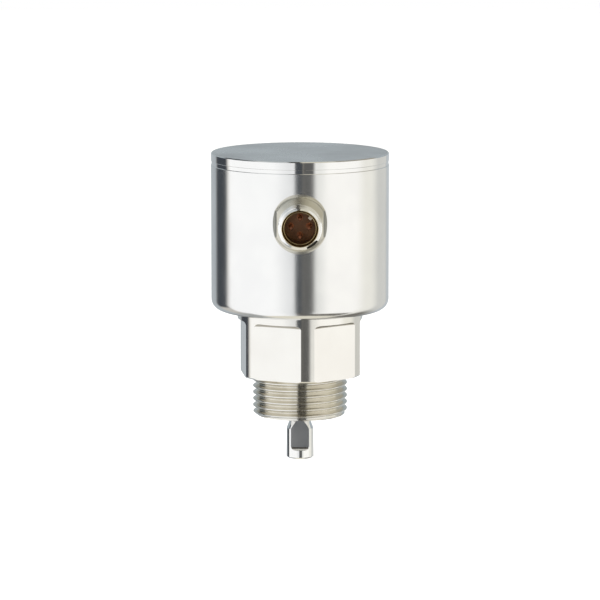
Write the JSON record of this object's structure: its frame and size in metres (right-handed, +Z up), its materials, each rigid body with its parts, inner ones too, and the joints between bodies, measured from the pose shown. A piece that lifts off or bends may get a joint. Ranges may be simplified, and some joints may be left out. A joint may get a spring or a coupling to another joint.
{
  "type": "radar level sensor",
  "caption": "Compact radar level sensor: threaded hexagon connection, stub for a probe rod, and a swivelling round steel head with a side plug connector.",
  "frame": {"origin": "centre of the sealing face under the hexagon, on the axis of the process thread", "axes": "+Z up the thread axis into the head, -Y along the plug connector towards its mate, +X completes a right-handed frame"},
  "size_m": [0.0496, 0.0593, 0.0863],
  "materials": {
    "housing_steel": "satin turned",
    "lid_steel": "brushed",
    "connection_steel": "machined",
    "coupling_steel": "bright turned",
    "connector_steel": "bright turned",
    "insulator_polymer": "turned white polymer",
    "support_polymer": "turned tan polymer",
    "elastomer": "matt",
    "spring_steel": "ground",
    "bronze": "turned",
    "contact_gold": "plated",
    "carrier_polymer": "moulded amber brown",
    "board_laminate": "lacquered",
    "black_polymer": "moulded",
    "copper_film": "film",
    "tinned_steel": "tinned",
    "capacitor_case": "drawn"
  },
  "bodies": {
    "process_fitting": {"process_connection": "connection_steel", "rod_coupling": "coupling_steel", "probe_insulator": "insulator_polymer", "insulator_seal": "elastomer", "rod_seal": "elastomer", "support_bush": "support_polymer", "disc_spring": "spring_steel", "coupling_nut": "spring_steel", "pin_bush": "insulator_polymer", "feed_pin": "contact_gold", "swivel_seal": "elastomer", "slide_ring": "insulator_polymer", "thrust_washer": "bronze", "retaining_ring": "spring_steel"},
    "sensor_head": {"housing": "housing_steel", "lid": "lid_steel", "lid_seal": "elastomer", "connector_sleeve": "connector_steel", "contact_carrier": "carrier_polymer", "carrier_seal": "elastomer", "carrier_ring": "bronze", "contact_pin_1": "contact_gold", "contact_pin_2": "contact_gold", "contact_pin_3": "contact_gold", "contact_pin_4": "contact_gold", "end_board": "board_laminate", "flex_ribbon": "copper_film", "ribbon_header": "black_polymer", "board_carrier": "black_polymer", "signal_board": "board_laminate", "coax_socket": "contact_gold", "shield_can": "tinned_steel", "main_board": "board_laminate", "board_spacers": "tinned_steel", "board_screws": "spring_steel", "processor": "black_polymer", "buffer_capacitors": "capacitor_case", "power_coil": "black_polymer"}
  },
  "joints": [
    {"name": "head_swivel", "type": "hinge", "parent": "process_fitting", "child": "sensor_head", "pos_m": [0, 0, 0], "axis": [0, 0, 1], "continuous": true}
  ]
}
